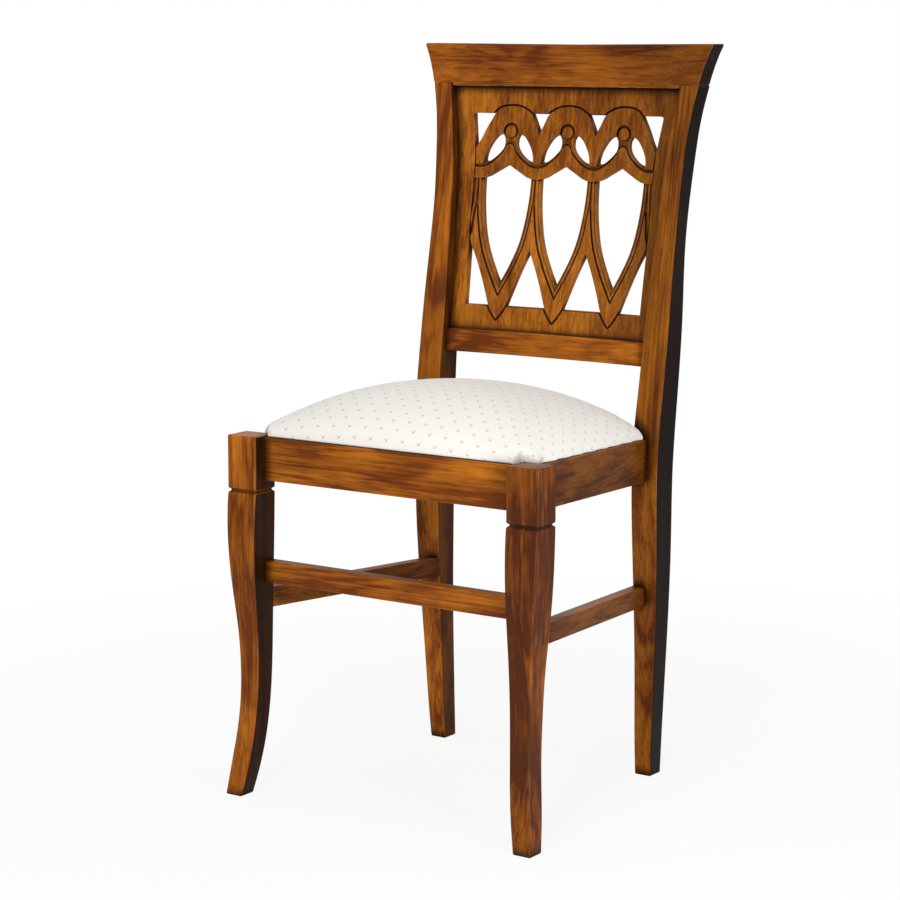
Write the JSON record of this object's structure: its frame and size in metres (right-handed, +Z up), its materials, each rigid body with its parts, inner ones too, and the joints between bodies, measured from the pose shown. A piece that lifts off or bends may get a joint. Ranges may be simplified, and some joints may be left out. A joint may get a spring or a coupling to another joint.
{
  "type": "dining chair",
  "caption": "Wooden dining chair with curved front legs, a pierced back panel of interlaced arches and pointed loops, and a padded cloth seat",
  "frame": {"origin": "on the floor under the middle of the chair's bounding box", "axes": "+Z up, the front of the chair faces -Y, +X to the right in a front view drawn along +Y"},
  "size_m": [0.4662, 0.4759, 0.95],
  "materials": {
    "stained_frame": "satin, antiqued",
    "stained_fretwork": "satin, antiqued",
    "raw_wood": "sanded",
    "plywood": "raw",
    "foam": "matt",
    "cover_cloth": "woven, small spots",
    "steel": "plated"
  },
  "bodies": {
    "root": {"front_leg_left": "stained_frame", "front_leg_right": "stained_frame", "rear_leg_left": "stained_frame", "rear_leg_right": "stained_frame", "front_seat_rail": "stained_frame", "rear_seat_rail": "stained_frame", "side_seat_rail_left": "stained_frame", "side_seat_rail_right": "stained_frame", "front_stretcher": "stained_frame", "side_stretcher_left": "stained_frame", "side_stretcher_right": "stained_frame", "crest_rail": "stained_frame", "lower_back_rail": "stained_frame", "fret_panel": "stained_fretwork", "corner_block_front_left": "raw_wood", "corner_block_front_right": "raw_wood", "corner_block_rear_left": "raw_wood", "corner_block_rear_right": "raw_wood", "crest_dowels": "raw_wood", "seat_board": "plywood", "seat_foam": "foam", "seat_cover": "cover_cloth", "seat_screws": "steel"}
  },
  "joints": []
}
